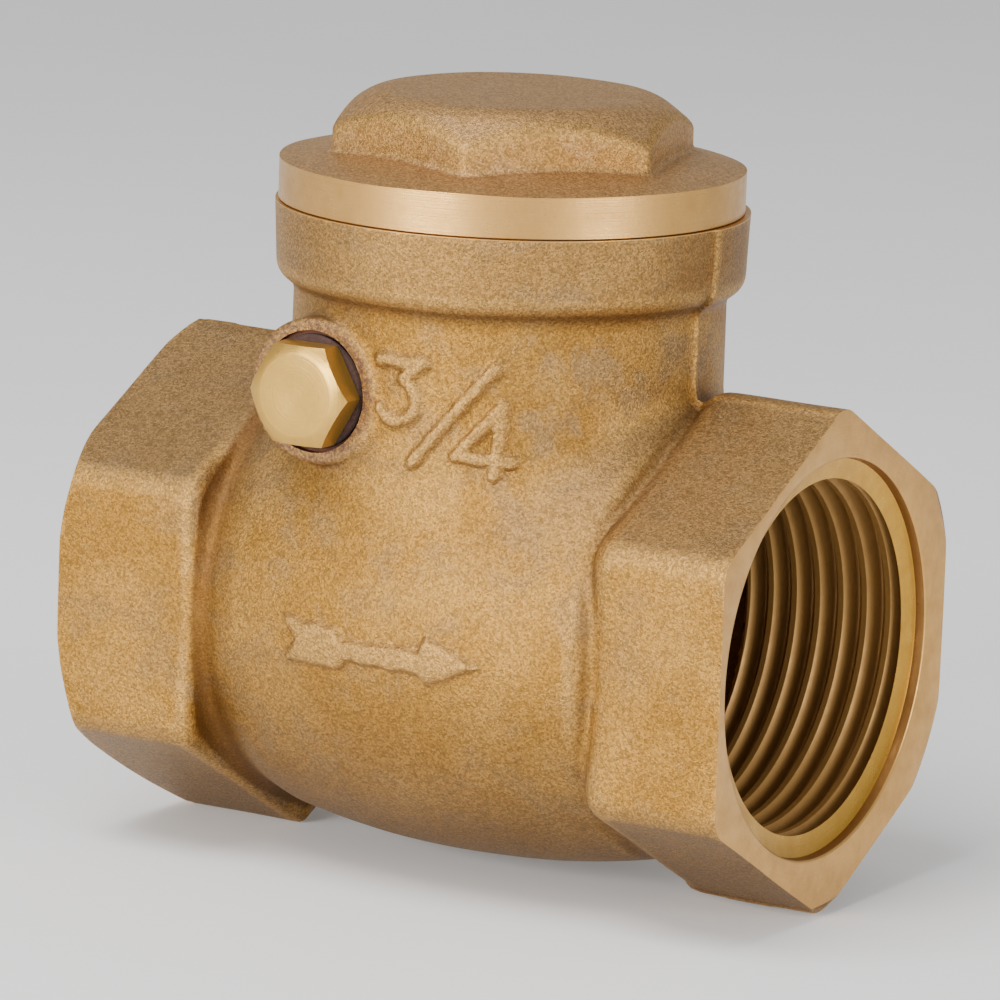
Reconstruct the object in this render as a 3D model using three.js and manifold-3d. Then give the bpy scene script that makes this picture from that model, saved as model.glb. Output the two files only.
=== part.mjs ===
// Swing check valve for 3/4 inch pipe, cast brass, as separate solids.
//
// Frame, in millimetres: +X along the flow, from the inlet to the outlet, and +Z up through the
// bonnet. The origin is where the flow axis crosses the bonnet axis. The figure and the arrow are
// on the -Y side, where the hinge pin's plug is. The clapper is shown closed, on its seat.
//
// Threads are plain cylinders here, close to their pitch radius.

import * as THREE from 'three';
import { mergeVertices } from 'three/addons/utils/BufferGeometryUtils.js';
import Module from 'manifold-3d';

const wasm = await Module();
wasm.setup();

// ---------------------------------------------------------------- driving dimensions

// Pipe ends: G 3/4 sockets in cast hexagons that stand on a corner.
const END_X = 25.75;              // bonnet axis to each end face
const SOCKET_R = 12.06;           // crest of the G 3/4 internal thread
const SOCKET_DEPTH = 12.7;
const SOCKET_MOUTH_R = 13.1;      // rim of the 45 degree lead-in
const HEX_HALF_WIDTH = 15.1;      // to the two upright flats
const HEX_TIP = 17.4;             // to the sharp top and bottom corners
const HEX_SHOULDER = 8.8;         // half the height of an upright flat
const HEX_EDGE_R = 1.0;
const OUTLET_FACE_R = 17.0;       // the turned end faces, inside the corner chamfer
const INLET_FACE_R = 15.7;
const HEX_CONE_SLOPE = 0.7;       // of that chamfer, back from the face
const OUTLET_HEX_X = 16.6;        // where each hexagon meets the barrel
const INLET_HEX_X = -14.8;
const OUTLET_HEX_SHIFT = [0.9, -0.4];   // in Y and Z: the cast hexagons sit off the turned sockets
const INLET_HEX_SHIFT = [-0.1, -0.5];

// Barrel and the chamber inside it.
const BARREL_R = 16.72;           // at its widest
const BARREL_WIDEST_X = 0.5;
const BARREL_CURVE_R = 64;        // lengthwise curve of the belly
const WALL = 2.5;
const PARTITION_X = -11.0;        // chamber side of the wall that carries the seat
const SEAT_X = -10.3;             // seat face
const SEAT_OUTER_R = 10.5;
const PORT_R = 9.0;

// Neck, with the flange that the bonnet closes.
const NECK_R = 14.55;             // at the flow axis
const NECK_TOP_R = 14.6;          // under the flange
const NECK_BORE_R = 12.3;
const FLANGE_BOTTOM_Z = 22.3;
const FLANGE_BOTTOM_R = 15.7;
const FLANGE_TOP_R = 15.9;
const BODY_TOP_Z = 27.5;

// Bonnet cap and its gasket.
const CAP_RING_R = 15.7;
const CAP_SEAT_Z = 27.9;
const CAP_RING_TOP_Z = 30.4;
const CAP_DECK_Z = 31.3;
const CAP_HEX_R = 12.75;          // to the sharp corner
const CAP_HEX_TURN = -73.2;       // degrees, where the cap came to rest when it was tightened
const CAP_HEX_EDGE_R = 1.8;
const CAP_TOP_Z = 35.35;
const CAP_CROWN_R = 9.9;          // flat of the top, inside the cone that cuts the corners
const CAP_CROWN_DROP = 2.2;       // of that cone, at the sharp corners
const CAP_SKIRT_R = 12.0;
const CAP_SKIRT_Z = 22.0;
const CAP_HOLLOW_R = 9.5;
const CAP_HOLLOW_Z = 31.4;
const GASKET_INNER_R = 12.6;
const GASKET_OUTER_R = 15.4;

// Hinge: a pin across the neck, held in by a hexagon plug on the -Y side.
const HINGE_X = -6.1;
const HINGE_Z = 15.95;
const PIN_R = 1.5;
const PIN_HOLE_R = 1.6;
const PIN_FRONT_Y = -11.6;
const PIN_BACK_Y = 11.4;
const LUG_R = 3.4;                // bosses inside the neck that carry the pin
const LUG_Y = 7.9;
const BOSS_R = 4.8;               // cast boss round the plug
const BOSS_Y = -14.3;
const PLUG_SEAT_Y = -13.9;
const PLUG_SEAT_R = 4.1;
const PLUG_HOLE_R = 2.75;
const PLUG_SHANK_R = 2.5;
const PLUG_HEX_R = 4.0;
const PLUG_FACE_R = 3.0;          // flat of the head, inside its chamfer
const PLUG_HEAD_Y = -14.5;
const PLUG_FACE_Y = -16.6;
const PLUG_END_Y = -11.9;

// Clapper, from the seat towards the outlet. TOUCH is the gap between faces that meet.
const TOUCH = 0.05;
const DISC_R = 10.6;
const DISC_WEB = 1.9;             // thickness behind the seal
const DISC_LIP = 1.1;             // how far the rim stands forward round the seal
const SEAL_R = 9.8;
const SEAL_THICK = 2.0;
const RETAINER_R = 5.5;
const RETAINER_THICK = 1.0;
const BUSH_R = 2.9;               // hollow stub that turns in the arm's eye
const SHOULDER_R = 3.8;
const SHOULDER = 0.7;
const BOLT_R = 1.95;
const BOLT_HOLE_R = 2.1;
const BOLT_HEAD_R = 3.4;
const BOLT_HEAD = 1.4;
const ARM_THICK = 2.2;
const ARM_HALF_WIDTH = 3.2;
const ARM_EYE_R = 4.6;
const ARM_EYE_HOLE_R = 3.0;
const ARM_HUB_R = 2.7;
const ARM_HUB_HALF = 7.5;
const WASHER_THICK = 0.7;
const LOCK_WASHER_THICK = 0.8;
const NUT_THICK = 2.2;
const NUT_HEX_R = 4.04;           // 7 mm across the flats

const ROUND = 40;                 // sides of a large round
const SMALL_ROUND = 24;           // sides of a small one
const OVERRUN = 0.4;              // how far a cutter runs past the face that it cuts

// ---------------------------------------------------------------- geometry helpers

// Turns geometry made along Y (lathe) or Z (extrusion) to run along a row axis.
const LATHE_TO = {
  x: new THREE.Matrix4().makeRotationZ(-Math.PI / 2),
  y: new THREE.Matrix4(),
  z: new THREE.Matrix4().makeRotationX(Math.PI / 2),
};
const X = new THREE.Vector3(1, 0, 0);
const Y = new THREE.Vector3(0, 1, 0);
const Z = new THREE.Vector3(0, 0, 1);
const EXTRUDE_TO = {
  x: new THREE.Matrix4().makeBasis(Y, Z, X),   // outline in Y, Z
  y: new THREE.Matrix4().makeBasis(Z, X, Y),   // outline in Z, X
  z: new THREE.Matrix4(),                      // outline in X, Y
};

function signedVolume(positions, triangles) {
  const [a, b, c] = [new THREE.Vector3(), new THREE.Vector3(), new THREE.Vector3()];
  let volume = 0;
  for (let i = 0; i < triangles.length; i += 3) {
    a.fromArray(positions, 3 * triangles[i]);
    b.fromArray(positions, 3 * triangles[i + 1]);
    c.fromArray(positions, 3 * triangles[i + 2]);
    volume += a.dot(b.cross(c)) / 6;
  }
  return volume;
}

// A closed three.js geometry as a solid, with its seams merged and its faces pointing out.
function toSolid(geometry) {
  geometry.deleteAttribute('normal');
  geometry.deleteAttribute('uv');
  const merged = mergeVertices(geometry, 1e-5);
  const positions = new Float32Array(merged.attributes.position.array);
  const index = merged.index.array;
  const triangles = [];
  for (let i = 0; i < index.length; i += 3) {
    const [a, b, c] = [index[i], index[i + 1], index[i + 2]];
    if (a !== b && b !== c && c !== a) triangles.push(a, b, c);
  }
  if (signedVolume(positions, triangles) < 0) triangles.reverse();
  const triVerts = new Uint32Array(triangles);
  return new wasm.Manifold(new wasm.Mesh({ numProp: 3, vertProperties: positions, triVerts }));
}

// A solid turned from [radius, place along the axis] pairs.
function turned(profile, axis, sides = ROUND) {
  const points = profile.map(([radius, along]) => new THREE.Vector2(radius, along));
  return toSolid(new THREE.LatheGeometry(points, sides).applyMatrix4(LATHE_TO[axis]));
}

function rod(radius, from, to, axis, sides = ROUND) {
  return turned([[0, from], [radius, from], [radius, to], [0, to]], axis, sides);
}

function tube(innerR, outerR, from, to, axis, sides = ROUND) {
  const wall = [[innerR, from], [outerR, from], [outerR, to], [innerR, to], [innerR, from]];
  return turned(wall, axis, sides);
}

function extruded(shape, from, to, axis) {
  const geometry = new THREE.ExtrudeGeometry(shape, {
    depth: to - from,
    bevelEnabled: false,
    curveSegments: 4,
  });
  geometry.translate(0, 0, from);
  return toSolid(geometry.applyMatrix4(EXTRUDE_TO[axis]));
}

// A closed outline through the corners, each rounded with about the given radius.
function roundedOutline(corners, radius) {
  const shape = new THREE.Shape();
  corners.forEach((corner, i) => {
    const before = corners[(i + corners.length - 1) % corners.length].clone().sub(corner);
    const after = corners[(i + 1) % corners.length].clone().sub(corner);
    const halfAngle = Math.abs(before.angleTo(after)) / 2;
    const back = radius / Math.tan(halfAngle);
    const start = before.setLength(back).add(corner);
    const end = after.setLength(back).add(corner);
    if (i === 0) shape.moveTo(start.x, start.y);
    else shape.lineTo(start.x, start.y);
    shape.quadraticCurveTo(corner.x, corner.y, end.x, end.y);
  });
  shape.closePath();
  return shape;
}

function outline(points) {
  return new THREE.Shape(points.map(([u, v]) => new THREE.Vector2(u, v)));
}

function hexagon(cornerR, firstDegrees) {
  return Array.from({ length: 6 }, (_, i) => {
    const angle = THREE.MathUtils.degToRad(firstDegrees + 60 * i);
    return new THREE.Vector2(cornerR * Math.cos(angle), cornerR * Math.sin(angle));
  });
}

// Points on a quarter turn from one [radius, along] pair to another, bulging outwards.
function quarter(from, to, steps = 4) {
  return Array.from({ length: steps + 1 }, (_, i) => {
    const angle = (Math.PI / 2) * (i / steps);
    const radius = from[0] + (to[0] - from[0]) * (1 - Math.cos(angle));
    return [radius, from[1] + (to[1] - from[1]) * Math.sin(angle)];
  });
}

function atHinge(solid) {
  return solid.translate([HINGE_X, 0, HINGE_Z]);
}

// ---------------------------------------------------------------- valve body

// Radius of the belly, or of a surface a given depth inside it, at a place along the flow axis.
function bellyR(x, depth = 0) {
  const curveR = BARREL_CURVE_R - depth;
  const drop = curveR - Math.sqrt(curveR ** 2 - (x - BARREL_WIDEST_X) ** 2);
  return BARREL_R - depth - drop;
}

function bellyProfile(fromX, toX, depth, steps) {
  return Array.from({ length: steps + 1 }, (_, i) => {
    const x = fromX + ((toX - fromX) * i) / steps;
    return [bellyR(x, depth), x];
  });
}

// One cast hexagon: its corners are rounded off at the barrel and cone-turned at the end face.
function hexEnd(side, innerX, faceR, shift) {
  const faceX = side * END_X;
  const corners = [
    [0, HEX_TIP],
    [-HEX_HALF_WIDTH, HEX_SHOULDER],
    [-HEX_HALF_WIDTH, -HEX_SHOULDER],
    [0, -HEX_TIP],
    [HEX_HALF_WIDTH, -HEX_SHOULDER],
    [HEX_HALF_WIDTH, HEX_SHOULDER],
  ].map(([y, z]) => new THREE.Vector2(y + shift[0], z + shift[1]));
  const shape = roundedOutline(corners, HEX_EDGE_R);
  const block = extruded(shape, Math.min(innerX, faceX), Math.max(innerX, faceX), 'x');
  const beyondTip = HEX_TIP + OVERRUN;
  const coneDepth = HEX_CONE_SLOPE * (beyondTip - faceR);
  const innerRound = 2.0;
  const roundEndX = innerX + side * innerRound;
  const envelope = turned([
    [0, innerX],
    ...quarter([beyondTip, roundEndX], [beyondTip - innerRound, innerX]).reverse(),
    [beyondTip, faceX - side * coneDepth],
    [faceR, faceX],
    [0, faceX],
  ], 'x');
  return block.intersect(envelope);
}

function socketCutter(side) {
  const faceX = side * END_X;
  const leadIn = SOCKET_MOUTH_R - SOCKET_R;
  return turned([
    [0, faceX + side * OVERRUN],
    [SOCKET_MOUTH_R + OVERRUN, faceX + side * OVERRUN],
    [SOCKET_R, faceX - side * leadIn],
    [SOCKET_R, faceX - side * SOCKET_DEPTH],
    [0, faceX - side * SOCKET_DEPTH],
  ], 'x');
}

// The chamber follows the belly one wall inside it, round the raised seat at its inlet end.
function chamberCutter() {
  const outletX = END_X - SOCKET_DEPTH;
  const shoulder = 1.5;
  return turned([
    [0, SEAT_X],
    [SEAT_OUTER_R, SEAT_X],
    [SEAT_OUTER_R, PARTITION_X],
    ...bellyProfile(PARTITION_X, outletX - shoulder, WALL, 6),
    [SOCKET_R, outletX + TOUCH],
    [0, outletX + TOUCH],
  ], 'x');
}

function neck() {
  const lowerRound = 1.0;
  return turned([
    [0, 0],
    [NECK_R, 0],
    [NECK_TOP_R, FLANGE_BOTTOM_Z],
    [FLANGE_BOTTOM_R - lowerRound / 3, FLANGE_BOTTOM_Z],
    [FLANGE_BOTTOM_R, FLANGE_BOTTOM_Z + lowerRound],
    [FLANGE_TOP_R, BODY_TOP_Z],
    [0, BODY_TOP_Z],
  ], 'z');
}

// Raised flow arrow on the -Y side of the belly: notched tail, shaft and head.
function flowArrow() {
  const raisedY = -17.2;
  const rootY = -15.0;
  const axisZ = -0.35;
  const tailX = -6.3;
  const notchX = -5.0;
  const tailEndX = -1.3;
  const headX = 4.8;
  const tipX = 9.1;
  const halfTail = 1.15;
  const halfShaft = 0.45;
  const halfHead = 1.3;
  const upper = [
    [halfTail, tailX],
    [halfTail, tailEndX - halfTail],
    [halfShaft, tailEndX],
    [halfShaft, headX],
    [halfHead, headX],
  ];
  const lower = upper.map(([z, x]) => [-z, x]).reverse();
  const points = [[0, notchX], ...upper, [0, tipX], ...lower];
  const raised = outline(points.map(([z, x]) => [z + axisZ, x]));
  return extruded(raised, raisedY, rootY, 'y');
}

function valveBody() {
  const barrel = turned([
    [0, INLET_HEX_X - WALL],
    ...bellyProfile(INLET_HEX_X - WALL, OUTLET_HEX_X + WALL, 0, 8),
    [0, OUTLET_HEX_X + WALL],
  ], 'x');
  const boss = atHinge(rod(BOSS_R, BOSS_Y, -WALL, 'y', SMALL_ROUND));
  const outside = hexEnd(1, OUTLET_HEX_X, OUTLET_FACE_R, OUTLET_HEX_SHIFT)
    .add(hexEnd(-1, INLET_HEX_X, INLET_FACE_R, INLET_HEX_SHIFT))
    .add(barrel)
    .add(neck())
    .add(boss);

  const port = rod(PORT_R, -(END_X - SOCKET_DEPTH) - OVERRUN, SEAT_X + OVERRUN, 'x');
  const neckBore = rod(NECK_BORE_R, 0, BODY_TOP_Z + OVERRUN, 'z');
  const hollow = chamberCutter().add(port).add(neckBore)
    .add(socketCutter(1))
    .add(socketCutter(-1));

  const lugEnd = BARREL_R;
  const lugs = atHinge(rod(LUG_R, -lugEnd, -LUG_Y, 'y', SMALL_ROUND))
    .add(atHinge(rod(LUG_R, LUG_Y, lugEnd, 'y', SMALL_ROUND)))
    .intersect(outside);

  const pinHole = rod(PIN_HOLE_R, PIN_FRONT_Y - OVERRUN, PIN_BACK_Y + TOUCH, 'y', SMALL_ROUND);
  const plugHole = rod(PLUG_HOLE_R, PLUG_SEAT_Y - OVERRUN, PIN_FRONT_Y - TOUCH, 'y', SMALL_ROUND);
  const plugSeat = rod(PLUG_SEAT_R, BOSS_Y - WALL, PLUG_SEAT_Y, 'y', SMALL_ROUND);
  const drilled = atHinge(pinHole.add(plugHole).add(plugSeat));

  return outside.subtract(hollow).add(lugs).add(flowArrow().subtract(hollow)).subtract(drilled);
}

// ---------------------------------------------------------------- bonnet

function bonnetCap() {
  const lead = 0.6;
  const deckEdge = 0.9;
  const crownRound = 0.9;
  const roundDrop = 0.15;
  const turnedPart = turned([
    [0, CAP_HOLLOW_Z],
    [CAP_HOLLOW_R, CAP_HOLLOW_Z],
    [CAP_HOLLOW_R, CAP_SKIRT_Z],
    [CAP_SKIRT_R - lead, CAP_SKIRT_Z],
    [CAP_SKIRT_R, CAP_SKIRT_Z + lead],
    [CAP_SKIRT_R, CAP_SEAT_Z],
    [CAP_RING_R, CAP_SEAT_Z],
    [CAP_RING_R, CAP_RING_TOP_Z],
    [CAP_RING_R - deckEdge, CAP_RING_TOP_Z + deckEdge / 2],
    [CAP_HEX_R, CAP_DECK_Z],
    [0, CAP_HOLLOW_Z + WALL],
  ], 'z');
  const shape = roundedOutline(hexagon(CAP_HEX_R, CAP_HEX_TURN), CAP_HEX_EDGE_R);
  const topLimit = turned([
    [0, CAP_SEAT_Z],
    [CAP_HEX_R, CAP_SEAT_Z],
    [CAP_HEX_R, CAP_TOP_Z - CAP_CROWN_DROP],
    [CAP_CROWN_R, CAP_TOP_Z - roundDrop],
    [CAP_CROWN_R - crownRound, CAP_TOP_Z],
    [0, CAP_TOP_Z],
  ], 'z');
  const hex = extruded(shape, CAP_RING_TOP_Z, CAP_TOP_Z, 'z').intersect(topLimit);
  const hollow = rod(CAP_HOLLOW_R, CAP_SEAT_Z, CAP_HOLLOW_Z, 'z');
  return turnedPart.add(hex).subtract(hollow);
}

function bonnetGasket() {
  return tube(GASKET_INNER_R, GASKET_OUTER_R, BODY_TOP_Z + TOUCH, CAP_SEAT_Z - TOUCH, 'z');
}

// ---------------------------------------------------------------- hinge pin and its plug

function hingePin() {
  const bevel = 0.3;
  return atHinge(turned([
    [0, PIN_FRONT_Y],
    [PIN_R - bevel, PIN_FRONT_Y],
    [PIN_R, PIN_FRONT_Y + bevel],
    [PIN_R, PIN_BACK_Y - bevel],
    [PIN_R - bevel, PIN_BACK_Y],
    [0, PIN_BACK_Y],
  ], 'y', SMALL_ROUND));
}

function hingePlug() {
  const coneDepth = 0.45;
  const shape = outline(hexagon(PLUG_HEX_R, 90).map((corner) => corner.toArray()));
  const head = extruded(shape, PLUG_FACE_Y, PLUG_HEAD_Y, 'y');
  const faceLimit = turned([
    [0, PLUG_HEAD_Y],
    [PLUG_HEX_R, PLUG_HEAD_Y],
    [PLUG_HEX_R, PLUG_FACE_Y + coneDepth],
    [PLUG_FACE_R, PLUG_FACE_Y],
    [0, PLUG_FACE_Y],
  ], 'y', SMALL_ROUND);
  const shank = rod(PLUG_SHANK_R, PLUG_HEAD_Y - coneDepth, PLUG_END_Y, 'y', SMALL_ROUND);
  return atHinge(head.intersect(faceLimit).add(shank));
}

function plugWasher() {
  const from = PLUG_HEAD_Y + TOUCH;
  const to = PLUG_SEAT_Y - TOUCH;
  return atHinge(tube(PLUG_SHANK_R + 0.2, PLUG_SEAT_R - 0.25, from, to, 'y', SMALL_ROUND));
}

// ---------------------------------------------------------------- clapper

// Faces of the clapper's pieces along X, each worked out from the one before it.
const SEAL_FRONT = SEAT_X + TOUCH;
const SEAL_BACK = SEAL_FRONT + SEAL_THICK;
const RECESS_X = SEAL_BACK + TOUCH;
const DISC_BACK = RECESS_X + DISC_WEB;
const ARM_FRONT = DISC_BACK + SHOULDER + TOUCH;
const ARM_BACK = ARM_FRONT + ARM_THICK;
const BUSH_END = ARM_BACK + TOUCH;
const WASHER_FRONT = BUSH_END + TOUCH;
const LOCK_WASHER_FRONT = WASHER_FRONT + WASHER_THICK + TOUCH;
const NUT_FRONT = LOCK_WASHER_FRONT + LOCK_WASHER_THICK + TOUCH;
const NUT_BACK = NUT_FRONT + NUT_THICK;
const BOLT_END = NUT_BACK + 0.4;

// The brass disc: a rim round the seal in front, and a hollow bush behind.
function clapperDisc() {
  const bevel = 0.8;
  const recessR = SEAL_R + 0.1;
  return turned([
    [BOLT_HOLE_R, BUSH_END],
    [BOLT_HOLE_R, RECESS_X],
    [recessR, RECESS_X],
    [recessR, RECESS_X - DISC_LIP],
    [DISC_R, RECESS_X - DISC_LIP],
    [DISC_R, DISC_BACK - bevel],
    [DISC_R - bevel, DISC_BACK],
    [SHOULDER_R, DISC_BACK],
    [SHOULDER_R, DISC_BACK + SHOULDER],
    [BUSH_R, DISC_BACK + SHOULDER],
    [BUSH_R, BUSH_END],
    [BOLT_HOLE_R, BUSH_END],
  ], 'x');
}

function discSeal() {
  return tube(BOLT_HOLE_R, SEAL_R, SEAL_FRONT, SEAL_BACK, 'x');
}

function sealRetainer() {
  const back = SEAL_FRONT - TOUCH;
  const bevel = 0.3;
  return turned([
    [BOLT_HOLE_R, back],
    [BOLT_HOLE_R, back - RETAINER_THICK],
    [RETAINER_R - bevel, back - RETAINER_THICK],
    [RETAINER_R, back - RETAINER_THICK + bevel],
    [RETAINER_R, back],
    [BOLT_HOLE_R, back],
  ], 'x');
}

// Slotted bolt through the retainer, the seal, the disc and the arm's eye.
function discBolt() {
  const headBack = SEAL_FRONT - 2 * TOUCH - RETAINER_THICK;
  const headFront = headBack - BOLT_HEAD;
  const round = 0.5;
  const bevel = 0.3;
  const slotHalfWidth = 0.45;
  const slotDepth = 0.7;
  const slotReach = BOLT_HEAD_R + OVERRUN;
  const bolt = turned([
    [0, headFront],
    ...quarter([BOLT_HEAD_R, headFront + round], [BOLT_HEAD_R - round, headFront], 2).reverse(),
    [BOLT_HEAD_R, headBack],
    [BOLT_R, headBack],
    [BOLT_R, BOLT_END - bevel],
    [BOLT_R - bevel, BOLT_END],
    [0, BOLT_END],
  ], 'x', SMALL_ROUND);
  const slotOutline = outline([
    [-slotHalfWidth, -slotReach],
    [slotHalfWidth, -slotReach],
    [slotHalfWidth, slotReach],
    [-slotHalfWidth, slotReach],
  ]);
  return bolt.subtract(extruded(slotOutline, headFront - OVERRUN, headFront + slotDepth, 'x'));
}

// The arm: a hub on the hinge pin, and a cranked bar down to the eye on the disc's bush.
function swingArm() {
  const hub = atHinge(rod(ARM_HUB_R, -ARM_HUB_HALF, ARM_HUB_HALF, 'y', SMALL_ROUND));
  const eye = rod(ARM_EYE_R, ARM_FRONT, ARM_BACK, 'x', SMALL_ROUND);
  const crankZ = DISC_R + 1.2;      // the bar leans back to the hub above the disc's rim
  const side = outline([
    [0, ARM_FRONT],
    [0, ARM_BACK],
    [crankZ, ARM_BACK],
    [HINGE_Z, HINGE_X + ARM_HUB_R],
    [HINGE_Z, HINGE_X],
    [HINGE_Z - ARM_HUB_R, HINGE_X - 1],
    [crankZ, ARM_FRONT],
  ]);
  const bar = extruded(side, -ARM_HALF_WIDTH, ARM_HALF_WIDTH, 'y');
  const eyeHole = rod(ARM_EYE_HOLE_R, ARM_FRONT - OVERRUN, ARM_BACK + OVERRUN, 'x');
  const holeHalf = ARM_HUB_HALF + OVERRUN;
  const pinHole = atHinge(rod(PIN_HOLE_R, -holeHalf, holeHalf, 'y', SMALL_ROUND));
  return hub.add(eye).add(bar).subtract(eyeHole).subtract(pinHole);
}

function discWasher() {
  return tube(BOLT_HOLE_R, NUT_HEX_R + 0.4, WASHER_FRONT, WASHER_FRONT + WASHER_THICK, 'x');
}

// A spring washer: a ring of square wire with one slanting gap.
function lockWasher() {
  const back = LOCK_WASHER_FRONT + LOCK_WASHER_THICK;
  const ring = tube(BOLT_HOLE_R, BOLT_HOLE_R + 1.4, LOCK_WASHER_FRONT, back, 'x', SMALL_ROUND);
  const slant = 0.5;
  const halfGap = 0.25;
  const gap = outline([
    [LOCK_WASHER_FRONT - OVERRUN, -slant - halfGap],
    [back + OVERRUN, slant - halfGap],
    [back + OVERRUN, slant + halfGap],
    [LOCK_WASHER_FRONT - OVERRUN, -slant + halfGap],
  ]);
  return ring.subtract(extruded(gap, 0, NUT_HEX_R, 'z'));
}

function discNut() {
  const cone = 0.5;
  const shape = outline(hexagon(NUT_HEX_R, 90).map((corner) => corner.toArray()));
  const block = extruded(shape, NUT_FRONT, NUT_BACK, 'x');
  const limit = turned([
    [0, NUT_FRONT],
    [NUT_HEX_R, NUT_FRONT],
    [NUT_HEX_R, NUT_BACK - cone],
    [NUT_HEX_R - 1.6 * cone, NUT_BACK],
    [0, NUT_BACK],
  ], 'x');
  const hole = rod(BOLT_HOLE_R, NUT_FRONT - OVERRUN, NUT_BACK + OVERRUN, 'x', SMALL_ROUND);
  return block.intersect(limit).subtract(hole);
}

// ---------------------------------------------------------------- materials and assembly

const castBrass = { color: 0xa88250, roughness: 0.62, metalness: 0.85 };
const turnedBrass = { color: 0xcdb27c, roughness: 0.3, metalness: 0.95 };
const stainless = { color: 0xb4b6b8, roughness: 0.3, metalness: 1.0 };
const nitrile = { color: 0x1c1c1d, roughness: 0.8, metalness: 0.0 };
const fibre = { color: 0x5a3a2c, roughness: 0.85, metalness: 0.0 };
const ptfe = { color: 0xdad7cf, roughness: 0.5, metalness: 0.0 };

function named(name, solid, finish) {
  const mesh = solid.getMesh();
  const geometry = new THREE.BufferGeometry();
  geometry.setAttribute('position', new THREE.BufferAttribute(mesh.vertProperties, 3));
  geometry.setIndex(new THREE.BufferAttribute(mesh.triVerts, 1));
  const part = new THREE.Mesh(geometry, new THREE.MeshStandardMaterial(finish));
  part.name = name;
  return part;
}

const clapper = new THREE.Group();
clapper.add(
  named('clapper_disc', clapperDisc(), turnedBrass),
  named('disc_seal', discSeal(), nitrile),
  named('seal_retainer', sealRetainer(), turnedBrass),
  named('disc_bolt', discBolt(), stainless),
  named('disc_washer', discWasher(), stainless),
  named('lock_washer', lockWasher(), stainless),
  named('disc_nut', discNut(), turnedBrass),
);

const valve = new THREE.Group();
valve.add(
  named('valve_body', valveBody(), castBrass),
  named('bonnet_cap', bonnetCap(), castBrass),
  named('bonnet_gasket', bonnetGasket(), ptfe),
  named('hinge_plug', hingePlug(), turnedBrass),
  named('plug_washer', plugWasher(), fibre),
  named('hinge_pin', hingePin(), stainless),
  named('swing_arm', swingArm(), turnedBrass),
  clapper,
);

export default valve;
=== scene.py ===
import math

import bmesh
import bpy
import numpy as np
from mathutils import Matrix, Vector


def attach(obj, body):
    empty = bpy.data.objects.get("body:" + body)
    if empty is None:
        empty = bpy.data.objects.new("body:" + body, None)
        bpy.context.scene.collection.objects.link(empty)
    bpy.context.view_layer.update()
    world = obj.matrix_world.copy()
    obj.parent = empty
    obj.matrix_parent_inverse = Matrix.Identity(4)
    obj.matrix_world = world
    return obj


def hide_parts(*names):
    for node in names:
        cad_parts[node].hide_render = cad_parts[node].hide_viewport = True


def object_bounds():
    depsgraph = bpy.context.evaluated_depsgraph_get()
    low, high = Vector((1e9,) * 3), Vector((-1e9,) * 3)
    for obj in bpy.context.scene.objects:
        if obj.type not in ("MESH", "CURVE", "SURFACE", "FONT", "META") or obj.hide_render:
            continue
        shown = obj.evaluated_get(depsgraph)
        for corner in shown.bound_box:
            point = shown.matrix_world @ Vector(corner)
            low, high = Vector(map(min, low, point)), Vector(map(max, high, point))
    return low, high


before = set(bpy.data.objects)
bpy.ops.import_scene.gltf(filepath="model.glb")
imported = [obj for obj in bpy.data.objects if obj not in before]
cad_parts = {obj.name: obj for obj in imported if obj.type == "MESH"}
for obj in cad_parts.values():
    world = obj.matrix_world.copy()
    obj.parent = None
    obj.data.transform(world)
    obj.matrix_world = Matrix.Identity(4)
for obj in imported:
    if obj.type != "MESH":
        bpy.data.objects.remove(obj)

cad_low, cad_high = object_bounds()
CAD_BOX = [list(cad_low), list(cad_high)]

# Lengths below are in millimetres, in the row frame: +X along the flow, +Z up through the bonnet.
MM = 0.001
TAU = 2 * math.pi

# ---- sizes

END_X = 25.75                            # bonnet axis to each end face
OUTLET_FACE_R, INLET_FACE_R = 17.0, 15.7
OUTLET_BACK_X, INLET_BACK_X = 15.3, -14.8
OUTLET_SHIFT, INLET_SHIFT = (0.9, -0.4), (-0.1, -0.5)      # each hexagon off its socket's centre, in Y and Z
HEX_FLAT = 15.1                          # centre of the hexagon to its upright sides
SOCKET_DEPTH = 12.7
MOUTH_R, MOUTH_DEPTH = 13.3, 1.05
BARREL_R, BARREL_WIDEST_X, BARREL_CURVE = 16.72, 0.5, 128.0
WALL = 2.5
NECK_R, NECK_BORE_R = 14.5, 12.3
FLANGE_R, FLANGE_LOW_Z, BODY_TOP_Z = 15.9, 22.3, 27.5
RING_R, RING_LOW_Z, RING_TOP_Z = 15.7, 27.9, 30.4
STEP_R, STEP_DEPTH = 15.42, 0.22         # the narrower part under the ring
CAP_FLAT, CAP_TOP_Z, CAP_TURN = 10.95, 35.35, -73.2
HINGE = (-6.1, 0.0, 15.95)
PIN_R, PIN_HOLE_R = 1.5, 1.6
BOSS_R, PLUG_SEAT_R, PLUG_SEAT_Y = 4.9, 4.1, -13.9
SEAT_X = -10.3
PLUG_HEX_R, NUT_HEX_R = 3.85, 4.04

# Threads: minor radius, major radius and pitch, of the screw and of its hole.
PIPE_MINOR = 12.06
PIPE_HOLE = (PIPE_MINOR, 13.2, 1.814)
CAP_SCREW, CAP_HOLE = (11.9, 12.82, 1.5), (12.1, 13.0, 1.5)
PLUG_SCREW, PLUG_HOLE = (2.4, 2.88, 1.0), (2.5, 3.0, 1.0)
BOLT_SCREW, NUT_HOLE = (1.52, 1.93, 0.7), (1.62, 2.05, 0.7)


# ---- solid fields

def soft_min(a, b, k):
    """Union of two fields, with a fillet about k wide."""
    h = np.clip(0.5 + 0.5 * (b - a) / k, 0.0, 1.0)
    return b + (a - b) * h - k * h * (1.0 - h)


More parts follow.
